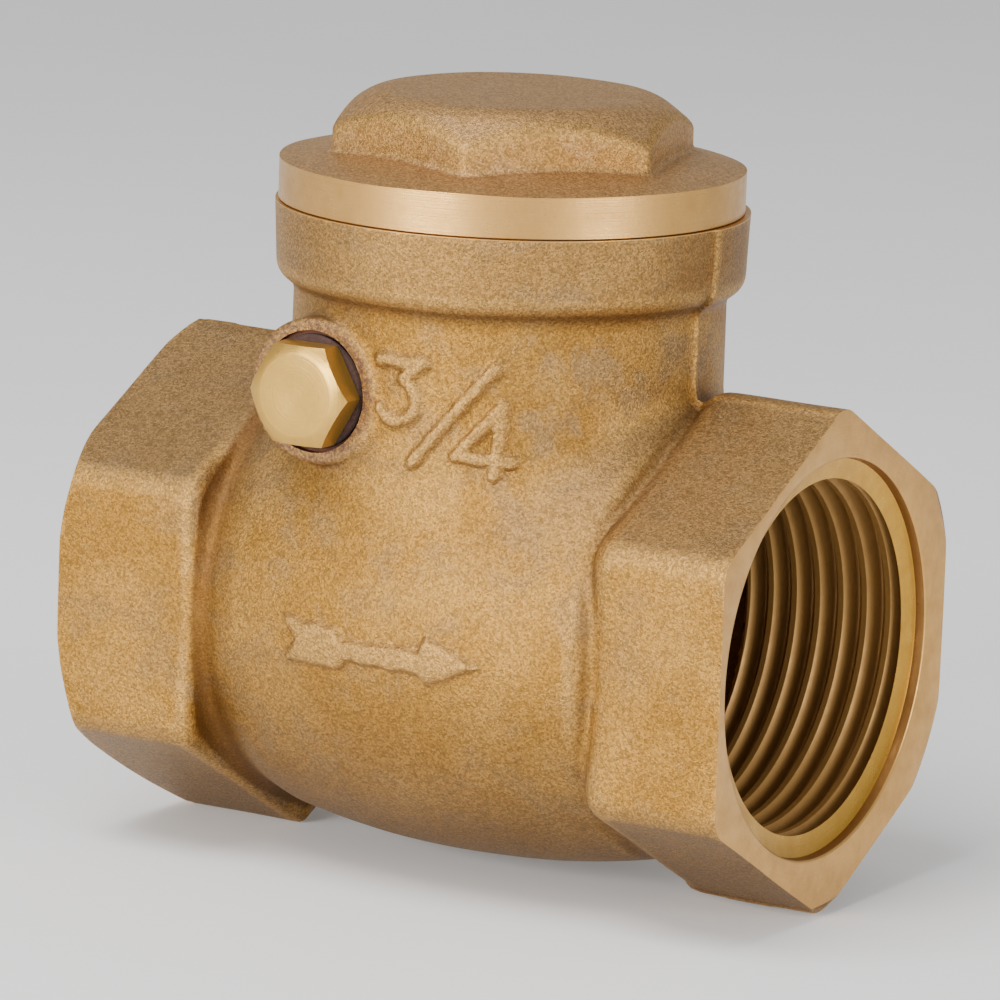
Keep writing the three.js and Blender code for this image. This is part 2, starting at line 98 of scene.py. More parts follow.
def soft_max(a, b, k):
    """Common part of two fields, with a rounded edge about k wide."""
    return -soft_min(-a, -b, k)


def smooth_step(low, high, value):
    """0 below low, 1 above high, and an even curve between."""
    t = np.clip((value - low) / (high - low), 0.0, 1.0)
    return t * t * (3.0 - 2.0 * t)


def segment_distance(u, v, a, b):
    """Distance in a plane from points (u, v) to the segment from a to b."""
    du, dv = b[0] - a[0], b[1] - a[1]
    t = np.clip(((u - a[0]) * du + (v - a[1]) * dv) / (du * du + dv * dv), 0.0, 1.0)
    return np.hypot(u - a[0] - t * du, v - a[1] - t * dv)


def path_distance(u, v, points):
    """Distance in a plane to a chain of straight strokes."""
    pieces = [segment_distance(u, v, a, b) for a, b in zip(points, points[1:])]
    return np.minimum.reduce(pieces)


def polygon_distance(u, v, points):
    """Signed distance in a plane to a closed outline, negative inside."""
    closed = list(points) + [points[0]]
    edge = path_distance(u, v, closed)
    inside = np.zeros(u.shape, bool)
    for (au, av), (bu, bv) in zip(closed, closed[1:]):
        spans = (av > v) != (bv > v)
        with np.errstate(divide="ignore", invalid="ignore"):
            cross = au + (v - av) * (bu - au) / (bv - av)
        inside ^= spans & (u < cross)
    return np.where(inside, -edge, edge)


def unevenness(x, y, z, size):
    """A slow, smooth ripple between about -1 and 1, as a sand mould leaves."""
    a = np.sin(x / size + 1.3 * np.sin(y / size * 0.9 + 0.4) + 2.1)
    b = np.sin(y / size * 1.1 + 1.2 * np.sin(z / size * 0.8 + 1.7) + 0.3)
    c = np.sin(z / size * 0.95 + 1.1 * np.sin(x / size * 1.2 + 2.6) + 4.4)
    return (a + b + c) / 3.0


def untangle(value):
    """Fills grid squares with two opposite corners inside, so that the net has no edge with four faces."""
    found = True
    while found:
        found = False
        for axis in range(3):
            u, v = [n for n in range(3) if n != axis]
            square = []
            for du, dv in ((0, 0), (1, 0), (0, 1), (1, 1)):
                part = [slice(None)] * 3
                part[u] = slice(du, value.shape[u] - 1 + du)
                part[v] = slice(dv, value.shape[v] - 1 + dv)
                square.append(value[tuple(part)])
            a, b, c, d = square
            rising = (a < 0) & (d < 0) & (b >= 0) & (c >= 0)
            b[rising] = -1e-3
            falling = (a >= 0) & (d >= 0) & (b < 0) & (c < 0)
            a[falling] = -1e-3
            found |= bool(rising.any() or falling.any())


def surface_of(field, low, high, step):
    """Points and quads of the zero surface of a field, by surface nets, then moved onto it."""
    axes = [np.arange(low[i], high[i] + step, step) for i in range(3)]
    value = np.empty([len(a) for a in axes])
    for i, x in enumerate(axes[0]):
        y, z = np.meshgrid(axes[1], axes[2], indexing="ij")
        value[i] = field(np.full(y.shape, x), y, z)
    untangle(value)
    inside = value < 0.0
    count = np.zeros([n - 1 for n in value.shape], np.int8)
    corners = [(i, j, k) for i in (0, 1) for j in (0, 1) for k in (0, 1)]
    shape = count.shape
    for i, j, k in corners:
        count += inside[i:i + shape[0], j:j + shape[1], k:k + shape[2]]
    active = (count > 0) & (count < 8)
    cells = np.argwhere(active)
    number = np.full(shape, -1, np.int64)
    number[active] = np.arange(len(cells))

    total = np.zeros((len(cells), 3))
    hits = np.zeros(len(cells))
    for a in corners:
        for axis in range(3):
            if a[axis]:
                continue
            b = tuple(1 if n == axis else a[n] for n in range(3))
            va = value[tuple((cells + a).T)]
            vb = value[tuple((cells + b).T)]
            crossed = (va < 0) != (vb < 0)
            t = np.where(crossed, va / np.where(crossed, va - vb, 1.0), 0.0)
            point = np.array(a, float) + t[:, None] * (np.array(b) - np.array(a))
            total += point * crossed[:, None]
            hits += crossed
    points = np.array(low) + (cells + total / hits[:, None]) * step

    quads = []
    for axis in range(3):
        u, v = (axis + 1) % 3, (axis + 2) % 3
        first = [slice(1, -1)] * 3
        first[axis] = slice(0, -1)
        second = list(first)
        second[axis] = slice(1, None)
        here, there = inside[tuple(first)], inside[tuple(second)]
        for flip, chosen in ((False, here & ~there), (True, ~here & there)):
            at = np.argwhere(chosen)
            at += np.array([0 if n == axis else 1 for n in range(3)])
            ring = []
            for du, dv in ((-1, -1), (0, -1), (0, 0), (-1, 0)):
                cell = at.copy()
                cell[:, u] += du
                cell[:, v] += dv
                ring.append(number[tuple(cell.T)])
            if flip:
                ring.reverse()
            quads.append(np.stack(ring, 1))
    quads = np.concatenate(quads)
    points = settle(field, points, quads, step)
    return points, quads


def onto_surface(field, points, reach):
    """Points moved along the field's slope to where it is zero, by at most reach."""
    eps = 0.01
    for _ in range(2):
        x, y, z = points.T
        value = field(x, y, z)
        slope = np.stack([
            field(x + eps, y, z) - field(x - eps, y, z),
            field(x, y + eps, z) - field(x, y - eps, z),
            field(x, y, z + eps) - field(x, y, z - eps),
        ], 1) / (2 * eps)
        steep = np.maximum((slope ** 2).sum(1), 0.05)
        move = -slope * (value / steep)[:, None]
        length = np.maximum(np.linalg.norm(move, axis=1), 1e-9)
        points = points + move * np.minimum(1.0, reach / length)[:, None]
    return points


def settle(field, points, quads, step):
    """Evens out the net, and puts its points on the surface."""
    for _ in range(2):
        total = np.zeros_like(points)
        hits = np.zeros(len(points))
        for n in range(4):
            a, b = quads[:, n], quads[:, (n + 1) % 4]
            for axis in range(3):
                total[:, axis] += np.bincount(a, points[b, axis], len(points))
                total[:, axis] += np.bincount(b, points[a, axis], len(points))
            hits += np.bincount(a, minlength=len(points)) + np.bincount(b, minlength=len(points))
        points = 0.5 * points + 0.5 * total / hits[:, None]
        points = onto_surface(field, points, 0.4 * step)
    return points


# ---- meshes

def new_object(name, points, faces):
    """A mesh object from points in millimetres."""
    mesh = bpy.data.meshes.new(name)
    mesh.from_pydata((np.asarray(points, float) * MM).tolist(), [], [list(map(int, f)) for f in faces])
    mesh.update()
    thing = bpy.data.objects.new(name, mesh)
    bpy.context.scene.collection.objects.link(thing)
    return thing


def field_object(name, field, low, high, step):
    """A mesh object of a field's zero surface inside a box, with faces about a step wide."""
    points, quads = surface_of(field, low, high, step)
    return new_object(name, points, quads)


def along(axis):
    """Columns that take (radial u, radial v, along) to X, Y, Z."""
    u, v, w = {"x": ((0, 1, 0), (0, 0, 1), (1, 0, 0)),
               "y": ((0, 0, 1), (1, 0, 0), (0, 1, 0)),
               "z": ((1, 0, 0), (0, 1, 0), (0, 0, 1))}[axis]
    return np.array([u, v, w], float)


def lathe_object(name, profile, axis, centre=(0, 0, 0), sides=128):
    """A closed solid turned from (radius, along) points, in order along its outline."""
    points, rows = [], []
    turn = np.arange(sides) * TAU / sides
    for radius, place in profile:
        if radius < 1e-6:
            rows.append([len(points)] * sides)
            points.append((0.0, 0.0, place))
        else:
            rows.append(list(range(len(points), len(points) + sides)))
            points.extend(zip(radius * np.cos(turn), radius * np.sin(turn), [place] * sides))
    closed = profile[0][0] > 1e-6
    pairs = list(zip(rows, rows[1:])) + ([(rows[-1], rows[0])] if closed else [])
    faces = []
    for a, b in pairs:
        for i in range(sides):
            j = (i + 1) % sides
            ring = [a[i], a[j], b[j], b[i]]
            face = [n for k, n in enumerate(ring) if n != ring[k - 1]]
            if len(face) > 2:
                faces.append(face)
    world = np.array(points, float) @ along(axis) + np.array(centre)
    thing = new_object(name, world, faces)
    face_outward(thing)
    return thing


def face_outward(thing):
    """Turns every face of a closed mesh outward."""
    work = bmesh.new()
    work.from_mesh(thing.data)
    bmesh.ops.recalc_face_normals(work, faces=work.faces)
    if work.calc_volume(signed=True) < 0:
        bmesh.ops.reverse_faces(work, faces=work.faces)
    work.to_mesh(thing.data)
    work.free()


# One pitch of a thread, from the middle of a crest to the next: how far along, and how deep the groove is.
THREAD_FORM = [(0.02, 0.0), (0.11, 0.0), (0.155, 0.09), (0.22, 0.30), (0.38, 0.84), (0.43, 0.97),
               (0.5, 1.0), (0.57, 0.97), (0.62, 0.84), (0.78, 0.30), (0.845, 0.09), (0.89, 0.0), (0.98, 0.0)]


def screw_object(name, minor, major, pitch, low, high, axis, centre=(0, 0, 0), sides=96):
    """A right-hand threaded rod with rounded crests and roots, a little longer than low to high."""
    phase = np.array([part for part, _ in THREAD_FORM])
    radii = minor + (major - minor) * np.array([depth for _, depth in THREAD_FORM])
    samples = len(THREAD_FORM)
    start_at = (math.floor(low / pitch) - 1) * pitch     # threads of one pitch are all in phase
    turns = int(math.ceil((high - start_at) / pitch)) + 1
    rows = turns * samples
    turn = np.arange(sides) * TAU / sides
    row = np.arange(rows + 1)
    radius = radii[row % samples]
    place = start_at + pitch * (row // samples + phase[row % samples])
    u = radius[:, None] * np.cos(turn)[None]
    v = radius[:, None] * np.sin(turn)[None]
    w = place[:, None] + pitch * turn[None] / TAU
    points = np.stack([u, v, w], 2).reshape(-1, 3)
    faces = []
    for r in range(rows):
        for i in range(sides - 1):
            a = r * sides + i
            faces.append([a, a + 1, a + sides + 1, a + sides])
    # The last column meets the first one pitch further on.
    for r in range(rows - samples):
        a = r * sides + sides - 1
        b = (r + samples) * sides
        faces.append([a, b, b + sides, a + sides])
    start = [i for i in range(sides)] + [r * sides for r in range(samples, 0, -1)]
    end = [rows * sides + i for i in range(sides)]
    end_edge = [r * sides + sides - 1 for r in range(rows - 1, rows - samples - 1, -1)]
    end = end + end_edge
    first_tip, last_tip = len(points), len(points) + 1
    points = np.vstack([points, [[0, 0, start_at - pitch]], [[0, 0, place[-1] + 2.0 * pitch]]])
    for loop, tip in ((start, first_tip), (end, last_tip)):
        for a, b in zip(loop, loop[1:] + loop[:1]):
            faces.append([a, b, tip])
    world = points @ along(axis) + np.array(centre)
    thing = new_object(name, world, faces)
    face_outward(thing)
    return thing


def prism_object(name, outline, low, high, axis, centre=(0, 0, 0)):
    """A solid from an outline of (u, v) points, between two places along an axis."""
    n = len(outline)
    points = [(u, v, w) for w in (low, high) for u, v in outline]
    faces = [list(range(n))[::-1], list(range(n, 2 * n))]
    faces += [[i, (i + 1) % n, n + (i + 1) % n, n + i] for i in range(n)]
    world = np.array(points, float) @ along(axis) + np.array(centre)
    thing = new_object(name, world, faces)
    face_outward(thing)
    return thing


def hexagon(corner_r):
    """Outline of a hexagon with one corner along v."""
    turn = math.radians(90) + np.arange(6) * TAU / 6
    return list(zip(corner_r * np.cos(turn), corner_r * np.sin(turn)))


def combine(base, *steps):
    """Cuts, adds or keeps the common part, in order, and drops the tools."""
    for operation, tool in steps:
        change = base.modifiers.new("step", "BOOLEAN")
        change.operation = operation
        change.solver = "MANIFOLD"
        change.object = tool
        graph = bpy.context.evaluated_depsgraph_get()
        result = bpy.data.meshes.new_from_object(base.evaluated_get(graph))
        base.modifiers.clear()
        old = base.data
        base.data = result
        bpy.data.meshes.remove(old)
        bpy.data.objects.remove(tool)
        if len(result.polygons) == 0:
            raise RuntimeError(f"{operation} on {base.name} left nothing")
    return base


def rod_object(radius, low, high, axis, centre=(0, 0, 0), sides=96):
    """A plain round tool."""
    return lathe_object("rod", [(0, low), (radius, low), (radius, high), (0, high)], axis, centre, sides)


def thread_object(minor, major, pitch, low, high, axis, centre=(0, 0, 0), sides=96):
    """A threaded rod cut square at both ends."""
    screw = screw_object("screw", minor, major, pitch, low, high, axis, centre, sides)
    return combine(screw, ("INTERSECT", rod_object(major + 1.0, low, high, axis, centre)))


def refine(thing, field, boxes):
    """Halves the faces inside the boxes, and puts their points back on the field's surface."""
    work = bmesh.new()
    work.from_mesh(thing.data)
    edges = set()
    for face in work.faces:
        x, y, z = face.calc_center_median() / MM
        for low, high in boxes:
            if low[0] < x < high[0] and low[1] < y < high[1] and low[2] < z < high[2]:
                edges.update(face.edges)
                break
    bmesh.ops.subdivide_edges(work, edges=list(edges), cuts=1, use_grid_fill=True)
    work.to_mesh(thing.data)
    work.free()
    count = len(thing.data.vertices)
    points = np.empty(count * 3)
    thing.data.vertices.foreach_get("co", points)
    points = points.reshape(-1, 3) / MM
    chosen = np.zeros(count, bool)
    for low, high in boxes:
        chosen |= np.all((points > np.array(low) - 0.5) & (points < np.array(high) + 0.5), axis=1)
    points[chosen] = onto_surface(field, points[chosen], 0.1)
    thing.data.vertices.foreach_set("co", (points * MM).ravel())
    thing.data.update()


# ---- valve body

def belly_radius(x, depth=0.0):
    return BARREL_R - depth - (x - BARREL_WIDEST_X) ** 2 / BARREL_CURVE


def hexagon_field(y, z, shift):
    """Across the cast hexagon: it stands on a corner, off the centre of its socket."""
    y, z = y - shift[0], np.abs(z - shift[1])
    slant = soft_max(0.495 * y + 0.869 * z, -0.495 * y + 0.869 * z, 1.0) - HEX_FLAT - 0.02
    return soft_max(slant, np.abs(y) - HEX_FLAT, 1.1)


# The raised marks, as points (x, z) on the front of the body.
FIGURE_THREE = [(-0.7, 18.9), (0.6, 18.8), (2.6, 19.0), (1.9, 18.3), (1.1, 17.7), (1.7, 17.2), (2.1, 16.4),
                (2.0, 15.7), (1.4, 15.1), (0.5, 14.8), (-0.2, 15.1), (-0.5, 15.6)]
FIGURE_BAR = [(1.9, 12.2), (7.1, 18.9)]
FIGURE_FOUR = [(7.3, 11.9), (7.6, 16.3), (4.9, 12.9), (8.2, 12.7)]
ARROW = [(-6.7, 1.1), (-5.4, 1.0), (-2.3, 0.9), (-1.6, 0.1), (2.6, 0.3), (4.3, 0.2), (4.8, 1.3), (8.8, -0.3),
         (4.9, -2.0), (4.4, -1.3), (2.6, -1.3), (-1.2, -1.2), (-2.0, -1.9), (-6.3, -1.8), (-5.4, -0.3)]


FIGURE_HEIGHT, ARROW_HEIGHT = 0.4, 0.48


def marks_height(x, y, z):
    """How far the figure and the arrow stand above the skin."""
    height = np.zeros(x.shape)
    front = (y < -9.0) & (x > -8.0) & (x < 11.5) & (z > -4.0) & (z < 21.0)
    if not front.any():
        return height
    u, v = x[front], z[front]
    strokes = np.minimum(path_distance(u, v, FIGURE_THREE), path_distance(u, v, FIGURE_BAR))
    strokes = np.minimum(strokes, path_distance(u, v, FIGURE_FOUR))
    worn = 0.07 * np.sin(3.1 * u + 1.0) * np.sin(2.7 * v + 2.0)
    figure = FIGURE_HEIGHT * (1.0 - smooth_step(0.2, 0.6, strokes + worn))
    arrow = ARROW_HEIGHT * (1.0 - smooth_step(-0.2, 0.16, polygon_distance(u, v, ARROW) + worn))
    height[front] = np.maximum(figure, arrow)
    return height


def outer_field(x, y, z):
    """The outside of the casting, before it is machined."""
    mismatch = 0.24 * smooth_step(-0.12, 0.12, y)      # the two mould halves don't quite meet
    round_x = np.hypot(y, z)
    round_z = np.hypot(x - mismatch, y)
    drop = 0.45 * smooth_step(11.0, 14.6, -x)
    barrel = soft_max(round_x - belly_radius(x) + drop + 0.02, x - 15.75, 1.5)
    barrel = np.maximum(barrel, -18.0 - x)
    outlet = soft_max(hexagon_field(y, z, OUTLET_SHIFT), OUTLET_BACK_X - x, 1.9)
    inlet = soft_max(hexagon_field(y, z, INLET_SHIFT), x - INLET_BACK_X, 1.0)
    neck = np.maximum(round_z - NECK_R, np.maximum(z - 24.0, -z))
    flange = round_z - FLANGE_R + 0.04 * (BODY_TOP_Z - z)
    flange = np.maximum(soft_max(flange, FLANGE_LOW_Z - z, 1.3), z - 28.33)
    round_y = np.hypot(x - HINGE[0], z - HINGE[2])
    rough = 0.16 * unevenness(x, z, y, 1.1)
    boss = soft_max(round_y - BOSS_R, PLUG_SEAT_Y - 0.55 + rough - y, 0.4)
    boss = np.maximum(boss, y)
    solid = soft_min(barrel, neck, 2.0)
    solid = soft_min(solid, boss, 0.9)
    solid = soft_min(solid, flange, 0.9)
    solid = soft_min(solid, np.maximum(outlet, x - 26.4), 0.6)
    solid = soft_min(solid, np.maximum(inlet, -26.4 - x), 1.6)
    flash = 0.13 * np.exp(-(y / 0.24) ** 2)
    return solid - flash + 0.045 * unevenness(x, y, z, 2.3) - marks_height(x, y, z)


def body_field(x, y, z):
    """The whole casting: its outside, its chamber, the wall of the seat and the lugs for the pin."""
    outer = outer_field(x, y, z)
    round_x = np.hypot(y, z)
    chamber = soft_max(round_x - belly_radius(x, WALL), -11.0 - x, 1.4)
    chamber = soft_max(chamber, x - 12.7, 1.2)
    throat = NECK_BORE_R - 1.2 * smooth_step(20.6, 21.6, z)
    bore = np.maximum(np.hypot(x, y) - throat, -z)
    hollow = soft_min(chamber, bore, 0.9) + 0.03 * unevenness(y, z, x, 1.9)
    seat = soft_max(round_x - 10.7, x + 10.15, 0.5)
    hinge_r = np.hypot(x - HINGE[0], z - HINGE[2])
    lugs = soft_max(hinge_r - 3.4, 7.9 - np.abs(y), 0.6)
    solid = soft_min(-hollow, lugs, 0.9)
    solid = np.minimum(solid, seat)
    return soft_max(outer, solid, 0.4)


def end_cutter(side, face_r):
    """Faces one end, and bevels the hexagon's corners."""
    profile = [(0, END_X), (face_r - 0.4, END_X), (face_r - 0.1, END_X - 0.03), (face_r + 0.4, END_X - 0.3),
               (face_r + 3.0, END_X - 2.1), (face_r + 3.0, 28), (0, 28)]
    return lathe_object("end", [(r, side * a) for r, a in profile], "x", sides=192)


def mouth_cutter(side):
    """Opens one socket: a short wall, then the lead-in cone."""
    profile = [(0, END_X + 1), (13.62, END_X + 1), (13.62, END_X), (13.5, END_X - 0.03), (13.44, END_X - 0.1),
               (MOUTH_R + 0.06, END_X - 0.7), (MOUTH_R - 0.1, END_X - 0.78),
               (PIPE_MINOR - 0.1, END_X - MOUTH_DEPTH),
               (PIPE_MINOR - 0.16, END_X - MOUTH_DEPTH - 0.2), (0, END_X - MOUTH_DEPTH - 0.2)]
    return lathe_object("mouth", [(r, side * a) for r, a in profile], "x", sides=192)


def valve_body():
    """The casting, with its faces, threads, seat and pin hole cut."""
    low, high = (-27.0, -18.15, -18.6), (27.0, 17.8, 29.2)
    body = field_object("body_casting", body_field, low, high, 0.38)
    refine(body, body_field, [((-2.2, -18, 11.2), (10.8, -10, 20.6)),
                              ((-7.6, -18, -3.2), (10.4, -15, 2.6)),
                              ((-11.6, -18, 10.6), (-0.8, -11, 21.4))])
    socket_end = END_X - SOCKET_DEPTH
    thread_end = END_X - MOUTH_DEPTH - 0.02
    cuts = [
        end_cutter(1, OUTLET_FACE_R),
        end_cutter(-1, INLET_FACE_R),
        thread_object(*PIPE_HOLE, socket_end - 1.2, thread_end, "x"),
        thread_object(*PIPE_HOLE, -thread_end, -socket_end, "x"),
        mouth_cutter(1),
        mouth_cutter(-1),
        lathe_object("top", [(0, BODY_TOP_Z), (STEP_R, BODY_TOP_Z), (STEP_R, BODY_TOP_Z + 0.12),
                             (18, BODY_TOP_Z + 0.12), (18, 30), (0, 30)], "z", sides=192),
        thread_object(*CAP_HOLE, 21.4, 28.4, "z"),
        lathe_object("lead", [(0, 26.2), (12.0, 26.2), (13.4, 27.6), (13.4, 29), (0, 29)], "z"),
        lathe_object("seat", [(0, -14), (9.0, -14), (9.0, SEAT_X - 0.3), (9.3, SEAT_X), (10.9, SEAT_X),
                              (10.9, -9.2), (0, -9.2)], "x", sides=128),
        lathe_object("plug_hole", [(0, -18), (PLUG_SEAT_R, -18), (PLUG_SEAT_R, PLUG_SEAT_Y),
                                   (3.1, PLUG_SEAT_Y), (2.5, -13.3), (2.5, -13), (0, -13)], "y", HINGE),
        thread_object(*PLUG_HOLE, -15, -11.55, "y", HINGE, 48),
        rod_object(PIN_HOLE_R, -12, 11.45, "y", HINGE, 48),
    ]
    return combine(body, *[("DIFFERENCE", tool) for tool in cuts])


# ---- bonnet

def cap_field(x, y, z):
    """The cast part of the cap: a domed hexagon on a sloping deck."""
    radius = np.hypot(x, y)
    gather = np.zeros(x.shape)
    sharp = 6.0
    for i in range(6):
        turn = math.radians(CAP_TURN + 30 + 60 * i)
        side = x * math.cos(turn) + y * math.sin(turn) - CAP_FLAT
        gather += np.exp(sharp * np.clip(side, -14.0, 8.0))
    sides = np.log(gather) / sharp
    crown = z - CAP_TOP_Z + 0.76 * soft_max(radius - 9.6, np.zeros(x.shape), 1.1) + 0.001 * radius ** 2
    head = soft_max(sides, crown, 0.4)
    deck = z - RING_TOP_Z - 0.06 - 0.22 * (RING_R - radius)
    deck = np.maximum(deck, radius - 16.6)
    solid = soft_min(head, deck, 0.55)
    solid = np.maximum(solid, 27.1 - z)
    return solid + 0.05 * unevenness(x, y, z, 2.1)


def bonnet_cap():
    """The cap, with its ring turned, its screw added and its inside hollowed."""
    cap = field_object("bonnet_cap_casting", cap_field, (-17.3, -17.3, 26.6), (17.3, 17.3, 36.2), 0.27)
    lip_z = RING_LOW_Z - STEP_DEPTH
    ring = [(0, RING_LOW_Z), (STEP_R, RING_LOW_Z), (STEP_R, lip_z), (RING_R - 0.05, lip_z),
            (RING_R, lip_z + 0.05), (RING_R, 37), (0, 37)]
    thread = thread_object(*CAP_SCREW, 21.9, 27.2, "z")
    lead_in = lathe_object("lead_in", [(0, 22.0), (11.8, 22.0), (13.2, 23.2), (13.2, 27.5), (0, 27.5)], "z")
    thread = combine(thread, ("INTERSECT", lead_in))
    hollow = [(0, 21), (9.6, 21), (9.6, 22), (9.5, 22.3), (9.5, 30.2), (8.9, 31.1), (8.0, 31.4), (0, 31.4)]
    return combine(cap,
                   ("INTERSECT", lathe_object("ring", ring, "z", sides=192)),
                   ("UNION", rod_object(CAP_SCREW[0], 26.8, 28.6, "z")),
                   ("UNION", thread),
                   ("DIFFERENCE", lathe_object("hollow", hollow, "z")))


def bonnet_gasket():
    profile = [(12.6, 27.57), (15.38, 27.57), (15.4, 27.7), (15.38, 27.83), (12.6, 27.83)]
    return lathe_object("bonnet_gasket_ring", profile, "z")


# ---- hinge pin and plug

def hinge_pin():
    profile = [(0, -11.6), (0.9, -11.6), (1.3, -11.45), (PIN_R, -11.2), (PIN_R, 11.0), (1.3, 11.28),
               (0.9, 11.4), (0, 11.4)]
    return lathe_object("hinge_pin_turned", profile, "y", HINGE, 64)


def hinge_plug():
    """Hexagon head with a coned face, and an M6 shank."""
    face, head = -16.6, -14.5
    block = prism_object("hinge_plug_turned", hexagon(PLUG_HEX_R), face, head, "y", HINGE)
    cone = [(0, face + 0.06), (1.3, face + 0.03), (2.7, face), (2.95, face + 0.03), (3.5, face + 0.27),
            (4.1, face + 0.7), (4.1, head - 0.3), (3.7, head), (0, head)]
    shank = thread_object(*PLUG_SCREW, -14.4, -11.9, "y", HINGE, 48)
    tip = lathe_object("tip", [(0, -15), (3.2, -15), (3.2, -12.5), (2.3, -11.9), (0, -11.9)], "y", HINGE, 48)
    shank = combine(shank, ("INTERSECT", tip))
    return combine(block,
                   ("INTERSECT", lathe_object("cone", cone, "y", HINGE, 96)),
                   ("UNION", rod_object(PLUG_SCREW[0] - 0.02, -14.7, PLUG_SEAT_Y, "y", HINGE, 48)),
                   ("UNION", shank))


def plug_washer():
    profile = [(2.95, -14.44), (3.72, -14.44), (3.84, -14.3), (3.84, -14.1), (3.72, -13.96), (2.95, -13.96)]
    return lathe_object("plug_washer_ring", profile, "y", HINGE, 96)


# ---- clapper

SEAL_FRONT, SEAL_BACK = -10.25, -8.25
ARM_FRONT, ARM_BACK = -5.55, -3.35


def clapper_disc():
    profile = [(2.1, -3.3), (2.1, -8.2), (9.9, -8.2), (9.9, -9.2), (10.05, -9.3), (10.4, -9.3), (10.6, -9.1),
               (10.6, -7.2), (10.3, -6.6), (9.7, -6.3), (5.2, -6.3), (4.9, -6.15), (4.6, -6.3), (3.9, -6.3),
               (3.8, -6.2), (3.8, -5.7), (3.7, -5.6), (2.9, -5.6), (2.9, -3.45), (2.75, -3.3)]
    return lathe_object("clapper_disc_turned", profile, "x", sides=160)


def disc_seal():
    profile = [(2.1, SEAL_BACK), (2.1, -10.15), (2.25, SEAL_FRONT), (9.5, SEAL_FRONT), (9.74, -10.14),
               (9.8, -9.9), (9.8, SEAL_BACK)]
    return lathe_object("disc_seal_moulded", profile, "x", sides=160)


def seal_retainer():
    profile = [(2.1, -10.3), (2.1, -11.3), (5.0, -11.3), (5.35, -11.2), (5.5, -11.0), (5.5, -10.3)]
    return lathe_object("seal_retainer_turned", profile, "x")


def disc_bolt():
    profile = [(0, -12.75), (1.6, -12.72), (2.6, -12.58), (3.15, -12.3), (3.4, -11.95), (3.4, -11.35),
               (1.9, -11.35), (1.9, -3.2), (1.55, -3.0), (0, -3.0)]
    bolt = lathe_object("disc_bolt_slotted", profile, "x", sides=96)
    slot = prism_object("slot", [(-0.45, -4), (0.45, -4), (0.45, 4), (-0.45, 4)], -13.2, -12.05, "x")
    thread = thread_object(*BOLT_SCREW, -3.6, 0.95, "x", sides=40)
    end = lathe_object("end", [(0, -4), (2.2, -4), (2.2, 0.6), (1.5, 0.95), (0, 0.95)], "x", sides=48)
    thread = combine(thread, ("INTERSECT", end))
    return combine(bolt, ("DIFFERENCE", slot), ("UNION", thread))


def disc_washer():
    profile = [(2.1, -2.55), (2.1, -3.25), (4.3, -3.25), (4.44, -3.1), (4.44, -2.68), (4.3, -2.55)]
    return lathe_object("disc_washer_plain", profile, "x", sides=96)


def lock_washer():
    """One turn of square wire, with its slanting ends just apart."""
    corners = [(2.12, 0.0), (3.42, 0.0), (3.5, 0.1), (3.5, 0.68), (3.42, 0.78), (2.12, 0.78)]
    steps = 72
    gap = math.radians(7)
    points, faces = [], []
    for i in range(steps + 1):
        for radius, rise in corners:
            lean = 0.28 * (rise - 0.39) / radius
            turn = math.radians(90) + gap + lean + (TAU - 2 * gap) * i / steps
            points.append((radius * math.cos(turn), radius * math.sin(turn), -2.49 + rise))
    n = len(corners)
    for i in range(steps):
        for k in range(n):
            a, b = i * n + k, i * n + (k + 1) % n
            faces.append([a, b, b + n, a + n])
    faces.append(list(range(n)))
    faces.append([steps * n + k for k in range(n)][::-1])
    thing = new_object("lock_washer_split", np.array(points) @ along("x"), faces)
    face_outward(thing)
    return thing


def disc_nut():
    front, back = -1.65, 0.55
    block = prism_object("disc_nut_hexagon", hexagon(NUT_HEX_R), front, back, "x")
    cones = [(0, front), (3.6, front), (4.1, front + 0.3), (4.1, back - 0.32), (3.4, back), (0, back)]
    hole = thread_object(*NUT_HOLE, front - 1, back + 1, "x", sides=40)
    lead = [(0, back - 0.45), (1.6, back - 0.45), (2.25, back + 0.1), (0, back + 0.1)]
    return combine(block,
                   ("INTERSECT", lathe_object("cones", cones, "x", sides=96)),
                   ("DIFFERENCE", hole),
                   ("DIFFERENCE", lathe_object("lead", lead, "x", sides=48)))


def arm_field(x, y, z):
    """A hub round the pin, a cranked bar, and an eye for the disc's bush."""
    hub = np.hypot(x - HINGE[0], z - HINGE[2]) - 2.68
    hub = soft_max(hub, np.abs(y) - 7.6, 0.5)
    eye = soft_max(np.hypot(y, z) - 4.6, np.abs(x - 0.5 * (ARM_FRONT + ARM_BACK)) - 1.15, 0.6)
    spine = segment_distance(x, z, (-4.45, 0.0), (-4.45, 11.2))
    crank = segment_distance(x, z, (-4.45, 11.2), (HINGE[0] + 0.35, HINGE[2]))
    bar = soft_min(spine, crank, 0.8) - 1.1
    waist = 3.25 - 0.5 * np.exp(-((z - 7.5) / 3.0) ** 2)
    bar = soft_max(bar, np.abs(y) - waist, 0.8)
    solid = soft_min(soft_min(hub, bar, 1.4), eye, 0.9)
    solid = soft_max(solid, x - ARM_BACK - 0.02 * np.maximum(z, 0.0) ** 1.2, 0.2)
    return solid + 0.03 * unevenness(x, y, z, 1.3)


